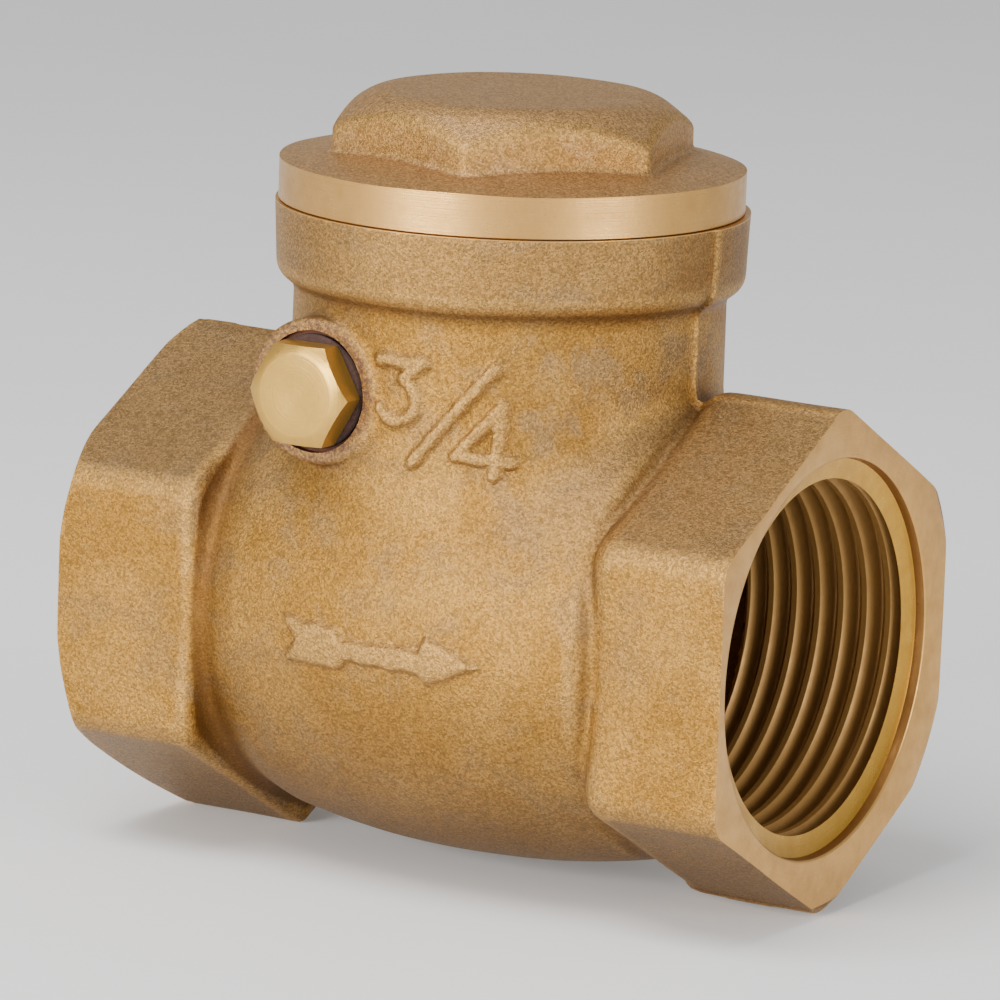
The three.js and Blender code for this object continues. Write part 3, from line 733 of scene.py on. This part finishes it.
def swing_arm():
    arm = field_object("swing_arm_casting", arm_field, (-9.6, -8.4, -5.4), (-1.6, 8.4, 19.6), 0.24)
    slab = prism_object("slab", [(-6, -6), (6, -6), (6, 11.3), (-6, 11.3)], -12, ARM_FRONT, "x")
    back = prism_object("back", [(-6, -6), (6, -6), (6, 6), (-6, 6)], ARM_BACK, 0, "x")
    return combine(arm,
                   ("DIFFERENCE", slab),
                   ("DIFFERENCE", back),
                   ("DIFFERENCE", rod_object(3.0, -9, 0, "x", sides=64)),
                   ("DIFFERENCE", rod_object(PIN_HOLE_R, -9, 9, "y", HINGE, 48)))


# ---- materials

class Nodes:
    """Short names for adding the nodes of one material."""

    def __init__(self, name, metallic, roughness, colour, **sockets):
        self.material = bpy.data.materials.new(name)
        self.material.use_nodes = True
        self.tree = self.material.node_tree
        self.shader = self.tree.nodes["Principled BSDF"]
        self.shader.inputs["Metallic"].default_value = metallic
        self.shader.inputs["Roughness"].default_value = roughness
        self.shader.inputs["Base Color"].default_value = (*colour, 1.0)
        for socket, value in sockets.items():
            self.shader.inputs[socket.replace("_", " ")].default_value = value
        place = self.tree.nodes.new("ShaderNodeTexCoord")
        self.place = place.outputs["Object"]

    def link(self, source, target):
        self.tree.links.new(source, target)

    def add(self, kind, **settings):
        node = self.tree.nodes.new(kind)
        for key, value in settings.items():
            if key.startswith("in_"):
                node.inputs[key[3:].replace("_", " ")].default_value = value
            else:
                setattr(node, key, value)
        return node

    def noise(self, per_mm, detail=2.0, rough=0.5, distortion=0.0):
        node = self.add("ShaderNodeTexNoise", in_Scale=per_mm / MM, in_Detail=detail, in_Roughness=rough,
                        in_Distortion=distortion)
        self.link(self.place, node.inputs["Vector"])
        return node.outputs["Fac"]

    def attribute(self, name):
        return self.add("ShaderNodeAttribute", attribute_name=name).outputs["Fac"]

    def parts(self, vector):
        node = self.add("ShaderNodeSeparateXYZ")
        self.link(vector, node.inputs[0])
        return node.outputs

    def ramp(self, source, *stops):
        node = self.tree.nodes.new("ShaderNodeValToRGB")
        band = node.color_ramp
        while len(band.elements) < len(stops):
            band.elements.new(0.5)
        for element, (place, colour) in zip(band.elements, stops):
            element.position = place
            element.color = (*colour, 1.0) if isinstance(colour, tuple) else (colour, colour, colour, 1.0)
        self.link(source, node.inputs["Fac"])
        return node.outputs["Color"]

    def mix(self, factor, a, b, blend="MIX"):
        node = self.add("ShaderNodeMix", data_type="RGBA", blend_type=blend)
        for socket, value in ((node.inputs[0], factor), (node.inputs[6], a), (node.inputs[7], b)):
            if isinstance(value, tuple):
                socket.default_value = (*value, 1.0)
            elif isinstance(value, (int, float)):
                socket.default_value = value
            else:
                self.link(value, socket)
        return node.outputs[2]

    def math(self, operation, a, b=0.0):
        node = self.add("ShaderNodeMath", operation=operation)
        for socket, value in zip(node.inputs, (a, b)):
            if isinstance(value, (int, float)):
                socket.default_value = value
            else:
                self.link(value, socket)
        return node.outputs[0]

    def span(self, value, low, high, to_low, to_high):
        """The value, moved from one range to another and held inside it."""
        node = self.add("ShaderNodeMapRange")
        self.link(value, node.inputs["Value"])
        for name, number in (("From Min", low), ("From Max", high), ("To Min", to_low), ("To Max", to_high)):
            node.inputs[name].default_value = number
        return node.outputs["Result"]

    def bump(self, height, depth_mm, strength=1.0, below=None):
        node = self.add("ShaderNodeBump", in_Strength=strength, in_Distance=depth_mm * MM)
        self.link(height, node.inputs["Height"])
        if below is not None:
            self.link(below, node.inputs["Normal"])
        return node.outputs["Normal"]

    def finish(self, colour=None, roughness=None, normal=None):
        for source, name in ((colour, "Base Color"), (roughness, "Roughness"), (normal, "Normal")):
            if source is not None:
                self.link(source, self.shader.inputs[name])
        return self.material


# The third colour here is painted shade for hollows and creases.
GOLD, PALE, HOLLOW_SHADE, GREY = (0.30, 0.149, 0.03), (0.42, 0.235, 0.066), (0.12, 0.047, 0.011), (0.28, 0.17, 0.072)
CAP_GOLD, CAP_GREY = (0.35, 0.165, 0.022), (0.44, 0.255, 0.105)
# Colours for painted shade on the undersides, painted light on faces towards the front and back, and the
# stained boss rim with painted shade.
UNDERSIDE_SHADE, LIT_FACE_GOLD, STAIN_AND_SHADE = (0.17, 0.095, 0.035), (0.36, 0.175, 0.026), (0.13, 0.07, 0.05)
SATIN, SATIN_DARK = (0.66, 0.37, 0.11), (0.42, 0.22, 0.055)
# The thread colours are a darker copy of the turned brass: painted shade inside the sockets and bores.
THREAD_IN_SHADE, THREAD_DARK = (0.42, 0.225, 0.06), (0.26, 0.122, 0.03)
DISC, DISC_DARK = (0.50, 0.29, 0.08), (0.28, 0.14, 0.03)
STEEL, STEEL_DARK = (0.60, 0.60, 0.61), (0.33, 0.32, 0.32)


def cast_skin(name, gold, grey):
    """Shot-blasted cast brass: a fine sparkling grain, pale worn edges with a painted highlight, painted
    shade in the hollows, the creases and on the undersides, painted light on the faces towards the front and
    back, and a stained boss rim with painted shade.
    """
    n = Nodes(name, 0.85, 0.5, gold, Specular_IOR_Level=0.3)
    cells = n.add("ShaderNodeTexVoronoi", in_Scale=8.0 / MM)
    n.link(n.place, cells.inputs["Vector"])
    split = n.add("ShaderNodeSeparateColor")
    n.link(cells.outputs["Color"], split.inputs[0])
    chance = split.outputs[0]
    fine = n.noise(10.5, 2.0, 0.6)
    coarse = n.noise(4.2, 2.0, 0.5)
    patches = n.noise(0.13, 3.0, 0.5, 0.5)
    clouds = n.noise(0.3, 4.0, 0.6)
    tone = n.mix(n.ramp(patches, (0.42, 0.0), (0.6, 0.75)), gold, PALE)
    tone = n.mix(n.span(n.ramp(clouds, (0.5, 0.0), (0.62, 1.0)), 0, 1, 0, 0.8), tone, grey)
    normal = n.parts(n.add("ShaderNodeTexCoord").outputs["Normal"])
    tone = n.mix(n.span(normal[2], 0.35, 0.8, 0.0, 0.7), tone, grey)
    # Painted shade: faces that look down are mixed towards a dark brown.
    tone = n.mix(n.span(normal[2], -0.08, -0.8, 0.0, 0.8), tone, UNDERSIDE_SHADE)
    # Painted light: faces towards the front and back are mixed towards a brighter, richer gold.
    tone = n.mix(n.span(n.math("ABSOLUTE", normal[1]), 0.7, 1.0, 0.0, 0.45), tone, LIT_FACE_GOLD)
    tone = n.mix(n.span(n.parts(n.place)[2], 21.5 * MM, 24 * MM, 0.0, 0.4), tone, grey)
    wear_and_painted_light = n.attribute("wear_and_painted_light")
    # Pale edges: worn, with a painted highlight.
    tone = n.mix(n.span(wear_and_painted_light, 0.05, 0.5, 0.0, 0.65), tone, PALE)
    tone = n.mix(n.span(n.attribute("raised"), 0.3, 1.0, 0.0, 0.6), tone, PALE)
    mixed = n.math("ADD", n.math("MULTIPLY", chance, 0.38), n.math("MULTIPLY", fine, 0.42))
    mixed = n.math("ADD", mixed, n.math("MULTIPLY", coarse, 0.2))
    speck = n.ramp(mixed, (0.28, 0.6), (0.5, 0.97), (0.72, 1.48))
    tone = n.mix(1.0, tone, speck, "MULTIPLY")
    # Painted shade in hollows and creases, where the value is below 0.
    tone = n.mix(n.span(wear_and_painted_light, -0.04, -0.6, 0.0, 0.72), tone, HOLLOW_SHADE)
    # Stained blots with painted shade on the rim of the plug's boss.
    blots = n.math("MULTIPLY", n.attribute("stain"), n.span(coarse, 0.35, 0.6, 1.0, 0.35))
    tone = n.mix(blots, tone, STAIN_AND_SHADE)
    rough = n.span(fine, 0.3, 0.7, 0.38, 0.58)
    relief = n.math("ADD", n.math("MULTIPLY", fine, 0.7), n.math("MULTIPLY", coarse, 0.5))
    return n.finish(tone, rough, n.bump(relief, 0.1, 0.75))


def turned_metal(name, colour, dark, axis, centre, roughness=0.3, ring_mm=0.11, wave=0.35, metallic=0.9):
    """A turned face: fine rings round an axis, faint streaks and a little tarnish."""
    n = Nodes(name, metallic, roughness, colour)
    shift = n.add("ShaderNodeVectorMath", operation="SUBTRACT")
    n.link(n.place, shift.inputs[0])
    shift.inputs[1].default_value = tuple(c * MM for c in centre)
    split = n.parts(shift.outputs[0])
    others = [split[i] for i in range(3) if "xyz"[i] != axis]
    square = n.math("ADD", n.math("MULTIPLY", others[0], others[0]), n.math("MULTIPLY", others[1], others[1]))
    radius = n.math("SQRT", square)
    travel = n.math("ADD", radius, split["xyz".index(axis)])
    join = n.add("ShaderNodeCombineXYZ")
    n.link(n.math("MULTIPLY", travel, 1.0 / (ring_mm * MM)), join.inputs[0])
    rings = n.add("ShaderNodeTexNoise", in_Scale=1.0, in_Detail=3.0, in_Roughness=0.7)
    n.link(join.outputs[0], rings.inputs["Vector"])
    blotch = n.noise(0.6, 3.0, 0.6)
    fleck = n.noise(5.0, 1.0, 0.5)
    tone = n.mix(n.span(blotch, 0.35, 0.75, 0.0, 0.45), colour, dark)
    tone = n.mix(n.span(rings.outputs["Fac"], 0.35, 0.7, 0.0, 0.22), tone, dark)
    tone = n.mix(n.ramp(fleck, (0.68, 0.0), (0.78, 0.5)), tone, dark)
    rough = n.math("ADD", n.span(blotch, 0.3, 0.7, roughness - 0.05, roughness + 0.08),
                   n.span(rings.outputs["Fac"], 0.3, 0.7, -0.03, 0.05))
    normal = n.bump(rings.outputs["Fac"], 0.03, wave)
    normal = n.bump(fleck, 0.02, 0.25, normal)
    return n.finish(tone, rough, normal)


def rubber_black():
    """Moulded rubber with a slight bloom."""
    n = Nodes("nitrile_rubber", 0.0, 0.6, (0.03, 0.03, 0.032))
    grain = n.noise(3.0, 3.0, 0.6)
    cloud = n.noise(0.4, 3.0, 0.5)
    tone = n.mix(n.span(cloud, 0.3, 0.7, 0.0, 1.0), (0.018, 0.018, 0.02), (0.05, 0.05, 0.052))
    return n.finish(tone, n.span(grain, 0.3, 0.7, 0.5, 0.72), n.bump(grain, 0.03, 0.4))


def fibre_sheet(name, colour, dark):
    """Pressed fibre, for the gasket and the washer."""
    n = Nodes(name, 0.0, 0.8, colour)
    fibres = n.noise(1.6, 6.0, 0.7, 1.5)
    tone = n.mix(n.span(fibres, 0.35, 0.65, 0.0, 1.0), colour, dark)
    return n.finish(tone, n.span(fibres, 0.3, 0.7, 0.7, 0.9), n.bump(fibres, 0.04, 0.5))


def steel(name, axis, centre):
    return turned_metal(name, STEEL, STEEL_DARK, axis, centre, 0.26)


def outward_bend(mesh, points, normals):
    """How sharply the surface curves outward at each vertex, evened out over its neighbours."""
    ends = np.empty(len(mesh.edges) * 2, np.int32)
    mesh.edges.foreach_get("vertices", ends)
    a, b = ends.reshape(-1, 2).T
    count = len(points)
    gap = points[b] - points[a]
    square = np.maximum((gap ** 2).sum(1), 0.01)
    at_a = np.clip(-(gap * normals[a]).sum(1) / square, -1.0, 1.0)
    at_b = np.clip((gap * normals[b]).sum(1) / square, -1.0, 1.0)
    hits = np.maximum(np.bincount(a, minlength=count) + np.bincount(b, minlength=count), 1)
    bend = (np.bincount(a, at_a, count) + np.bincount(b, at_b, count)) / hits
    for _ in range(3):
        around = (np.bincount(a, bend[b], count) + np.bincount(b, bend[a], count)) / hits
        bend = 0.5 * bend + 0.5 * around
    return bend


def note_wear_shade_and_stain(thing, field):
    """Notes at each vertex its worn edges and painted light (above 0 on edges: worn, with a painted
    highlight; below 0 in hollows and creases: painted shade), its raised marks, and a stained boss rim with
    painted shade.
    """
    reach = 0.6
    mesh = thing.data
    count = len(mesh.vertices)
    points, normals = np.empty(count * 3), np.empty(count * 3)
    mesh.vertices.foreach_get("co", points)
    mesh.vertex_normals.foreach_get("vector", normals)
    points, normals = points.reshape(-1, 3) / MM, normals.reshape(-1, 3)
    outside, inside = points + normals * reach, points - normals * reach
    wear_and_painted_light = sum(field(*side.T) + marks_height(*side.T) for side in (outside, inside)) / reach
    x, y, z = points.T
    # Outward-curving edges score higher: paler worn edges with a painted highlight.
    wear_and_painted_light += 0.6 * smooth_step(0.05, 0.16, outward_bend(mesh, points, normals))
    low = (np.hypot(y, z) < 15.4) | (np.abs(normals[:, 0]) > 0.5)
    for foot, foot_shade in ((-14.5, 0.8), (15.6, 0.3)):      # painted shade in the crease where the barrel meets each hexagon
        wear_and_painted_light -= foot_shade * np.exp(-((x - foot) / 0.75) ** 2) * low
    round_y = np.hypot(x - HINGE[0], z - HINGE[2])
    # The plug's boss rim: stained, with painted shade next to the plug.
    rim = (1.0 - smooth_step(4.45, 5.3, round_y)) * (1.0 - smooth_step(-14.0, -12.8, y))
    raised = marks_height(x, y, z) / 0.42
    for name, values in (("wear_and_painted_light", np.clip(wear_and_painted_light, -1, 1)), ("raised", raised), ("stain", rim)):
        layer = mesh.attributes.new(name, "FLOAT", "POINT")
        layer.data.foreach_set("value", values.astype(np.float32))


def paint(thing, materials, choose=None, sharp_degrees=32):
    """Gives a piece its materials; choose takes face centres and normals and gives each face's slot."""
    mesh = thing.data
    mesh.materials.clear()
    for material in materials:
        mesh.materials.append(material)
    count = len(mesh.polygons)
    area = np.empty(count)
    mesh.polygons.foreach_get("area", area)
    mesh.polygons.foreach_set("use_smooth", area < 4.0 * MM * MM)      # the large faces are flat ones
    slots = np.zeros(count, np.int32)
    if choose is not None:
        centre, normal = np.empty(count * 3), np.empty(count * 3)
        mesh.polygons.foreach_get("center", centre)
        mesh.polygons.foreach_get("normal", normal)
        slots = choose(centre.reshape(-1, 3).T / MM, normal.reshape(-1, 3).T).astype(np.int32)
    mesh.polygons.foreach_set("material_index", slots)
    mesh.set_sharp_from_angle(angle=math.radians(sharp_degrees))
    mesh.update()


def body_faces(centre, normal):
    """0 skin, 1 end faces and top, 2 threads and bores, 3 lead-in cone, 4 plug's spot face, 5 mouth wall."""
    x, y, z = centre
    round_x, round_z = np.hypot(y, z), np.hypot(x, y)
    round_y = np.hypot(x - HINGE[0], z - HINGE[2])
    slot = np.zeros(x.shape)
    face_r = np.where(x > 0, OUTLET_FACE_R, INLET_FACE_R)
    cone = END_X - 0.7 * np.maximum(round_x - face_r, 0.0)
    slot[(np.abs(x) > cone - 0.02) & (np.abs(x) > 23.0)] = 1
    slot[z > BODY_TOP_Z - 0.01] = 1
    slot[(round_x < 13.55) & (np.abs(x) > 11.9) & (np.abs(x) < END_X - 0.001)] = 2
    inward = y * normal[1] + z * normal[2] < 0.0
    slot[inward & (round_x < 13.65) & (np.abs(x) > END_X - 0.12)] = 1
    slot[inward & (round_x < 13.65) & (np.abs(x) > END_X - 0.74) & (np.abs(x) < END_X - 0.12)] = 5
    slot[inward & (round_x < MOUTH_R) & (np.abs(x) > END_X - MOUTH_DEPTH)] = 3
    slot[(round_z < 13.5) & (z > 21.41) & (z < BODY_TOP_Z - 0.01)] = 2
    slot[(round_x < 10.95) & (x < SEAT_X + 0.02) & (x > -13.1)] = 1
    slot[(round_y < PLUG_SEAT_R + 0.02) & (y < -11.5)] = 4
    return slot


def cap_faces(centre, normal):
    """0 cast skin, 1 turned ring, thread and hollow."""
    x, y, z = centre
    radius = np.hypot(x, y)
    slot = np.zeros(x.shape)
    slot[(radius > RING_R - 0.03) & (np.abs(normal[2]) < 0.5)] = 1
    slot[z < RING_LOW_Z + 0.01] = 1
    slot[(radius < 9.62) & (z < 31.45)] = 1
    return slot


def arm_faces(centre, _normal):
    """0 cast skin, 1 machined faces and holes."""
    x, y, z = centre
    slot = np.zeros(x.shape)
    slot[np.hypot(y, z) < 3.02] = 1
    slot[np.hypot(x - HINGE[0], z - HINGE[2]) < PIN_HOLE_R + 0.02] = 1
    slot[(np.abs(x - ARM_FRONT) < 0.004) & (z < 11.3)] = 1
    slot[(np.abs(x - ARM_BACK) < 0.004) & (np.abs(z) < 6)] = 1
    return slot


def build():
    """Makes each piece, with the CAD node that it stands for, its body and its record slot; the record slot
    is listed but not read.
    """
    middle = (0, 0, 0)
    skin = cast_skin("cast_brass_skin", GOLD, GREY)
    cap_skin = cast_skin("cast_cap_skin", CAP_GOLD, CAP_GREY)
    ends = turned_metal("turned_end_face", SATIN, SATIN_DARK, "x", middle, 0.34)
    # Threads and bores in the darker thread colours: painted shade.
    bore = turned_metal("cut_thread", THREAD_IN_SHADE, THREAD_DARK, "x", middle, 0.44, 0.2, 0.3, 0.5)
    # The lead-in cone in a deeper gold: painted light on the lit cone.
    lead = turned_metal("lead_in_cone_painted_light", (0.62, 0.34, 0.05), (0.36, 0.17, 0.02), "x", middle, 0.28)
    # The mouth wall in darker brass: painted shade in the step inside the mouth.
    wall = turned_metal("mouth_wall_painted_shade", (0.34, 0.165, 0.045), (0.18, 0.08, 0.02), "x", middle, 0.4)
    # The spot face in near-black brass: painted shade in the recess round the plug.
    spot = turned_metal("spot_face_painted_shade", (0.14, 0.06, 0.035), (0.04, 0.017, 0.01), "y", HINGE, 0.45)
    ring = turned_metal("turned_ring", SATIN, SATIN_DARK, "z", middle, 0.3)
    plug = turned_metal("turned_plug", (0.62, 0.37, 0.08), (0.38, 0.2, 0.03), "y", HINGE,
                        0.33, 0.13, 0.5, 0.85)
    disc = turned_metal("turned_disc", DISC, DISC_DARK, "x", middle, 0.3)
    nut = turned_metal("turned_nut", DISC, DISC_DARK, "x", middle, 0.3)
    pin = steel("pin_steel", "y", HINGE)
    bolt = steel("bolt_steel", "x", middle)
    seal = rubber_black()
    gasket = fibre_sheet("gasket_fibre", (0.09, 0.06, 0.04), (0.04, 0.025, 0.02))
    # Near-black fibre: partly the washer's own colour, partly painted shade in the ring round the plug's
    # head.
    washer = fibre_sheet("washer_fibre", (0.06, 0.025, 0.018), (0.03, 0.012, 0.009))
    body_looks = [skin, ends, bore, lead, spot, wall]
    rows = [
        (valve_body, "valve_body", "body", "cast_brass", body_looks, body_faces, outer_field),
        (bonnet_cap, "bonnet_cap", "cap", "cap_brass", [cap_skin, ring], cap_faces, cap_field),
        (bonnet_gasket, "bonnet_gasket", "gasket", "gasket", [gasket], None, None),
        (hinge_pin, "hinge_pin", "pin", "stainless", [pin], None, None),
        (hinge_plug, "hinge_plug", "plug", "turned_brass", [plug], None, None),
        (plug_washer, "plug_washer", "washer", "washer_fibre", [washer], None, None),
        (swing_arm, "swing_arm", "arm", "turned_brass", [cap_skin, disc], arm_faces, arm_field),
        (clapper_disc, "clapper_disc", "clapper", "turned_brass", [disc], None, None),
        (disc_seal, "disc_seal", "clapper", "nitrile", [seal], None, None),
        (seal_retainer, "seal_retainer", "clapper", "turned_brass", [disc], None, None),
        (disc_bolt, "disc_bolt", "clapper", "stainless", [bolt], None, None),
        (disc_washer, "disc_washer", "clapper", "stainless", [bolt], None, None),
        (lock_washer, "lock_washer", "clapper", "stainless", [bolt], None, None),
        (disc_nut, "disc_nut", "clapper", "turned_brass", [nut], None, None),
    ]
    for make, node, body, slot, materials, choose, field in rows:
        piece = make()
        if field is not None:
            note_wear_shade_and_stain(piece, field)
        paint(piece, materials, choose, 32 if field is None else 44)
        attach(piece, body)
        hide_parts(node)


# ---- floor, light and camera

def plain_material(name, colour, roughness, glow):
    """A nearly even paint that glows a little, for the floor."""
    n = Nodes(name, 0.0, roughness, colour)
    mottle = n.noise(0.02, 2.0, 0.5)
    tone = n.mix(n.span(mottle, 0.3, 0.7, 0.0, 1.0), colour, tuple(0.97 * c for c in colour))
    n.shader.inputs["Emission Color"].default_value = (1.0, 1.0, 1.0, 1.0)
    n.shader.inputs["Emission Strength"].default_value = glow
    return n.finish(tone)


def studio_floor():
    """A plain pale floor just under the part."""
    lowest = CAD_BOX[0][2] / MM - 0.02
    size = 4000
    corners = [(-size, -size, lowest), (size, -size, lowest), (size, size, lowest), (-size, size, lowest)]
    floor = new_object("studio_floor", corners, [[0, 1, 2, 3]])
    paint(floor, [plain_material("pale_floor", (0.88, 0.88, 0.88), 0.8, 0.1)])


LIT_POINT = (0, 0, 5)


def soft_light(name, place, width, height, power):
    """A white panel that faces the part."""
    data = bpy.data.lights.new(name, "AREA")
    data.shape = "RECTANGLE"
    data.size, data.size_y = width * MM, height * MM
    data.energy = power
    lamp = bpy.data.objects.new(name, data)
    bpy.context.scene.collection.objects.link(lamp)
    lamp.location = Vector(place) * MM
    lamp.rotation_euler = (Vector(LIT_POINT) * MM - lamp.location).to_track_quat("-Z", "Y").to_euler()


def studio_light():
    """An even pale surround and three large soft panels."""
    world = bpy.data.worlds.new("studio")
    bpy.context.scene.world = world
    world.use_nodes = True
    back = world.node_tree.nodes["Background"]
    back.inputs["Color"].default_value = (1.0, 1.0, 1.0, 1.0)
    back.inputs["Strength"].default_value = 0.5
    soft_light("key", (-90, -560, 120), 300, 200, 3.65)
    soft_light("fill", (520, -120, 120), 240, 240, 1.8)
    soft_light("top", (-60, -220, 460), 300, 260, 2.2)


def studio_camera():
    """The photograph's view: from the front, to the outlet side and a little above."""
    azimuth, elevation, roll = math.radians(31.54), math.radians(11.30), math.radians(2.07)
    distance, look_at = 465.1, Vector((-0.09, 0.0, 7.254))
    focal_in_widths = 6.8627
    back = Vector((math.sin(azimuth) * math.cos(elevation), -math.cos(azimuth) * math.cos(elevation),
                   math.sin(elevation)))
    right = Vector((math.cos(azimuth), math.sin(azimuth), 0.0))
    up = back.cross(right)
    turned_right = math.cos(roll) * right + math.sin(roll) * up
    turned_up = math.cos(roll) * up - math.sin(roll) * right
    data = bpy.data.cameras.new("camera")
    data.sensor_width = 36.0
    data.lens = focal_in_widths * data.sensor_width
    data.clip_start, data.clip_end = 0.01, 50.0
    camera = bpy.data.objects.new("camera", data)
    bpy.context.scene.collection.objects.link(camera)
    camera.matrix_world = Matrix.Translation((look_at + back * distance) * MM) @ Matrix(
        (turned_right, turned_up, back)).transposed().to_4x4()
    bpy.context.scene.camera = camera


studio_camera()
studio_light()
studio_floor()
build()
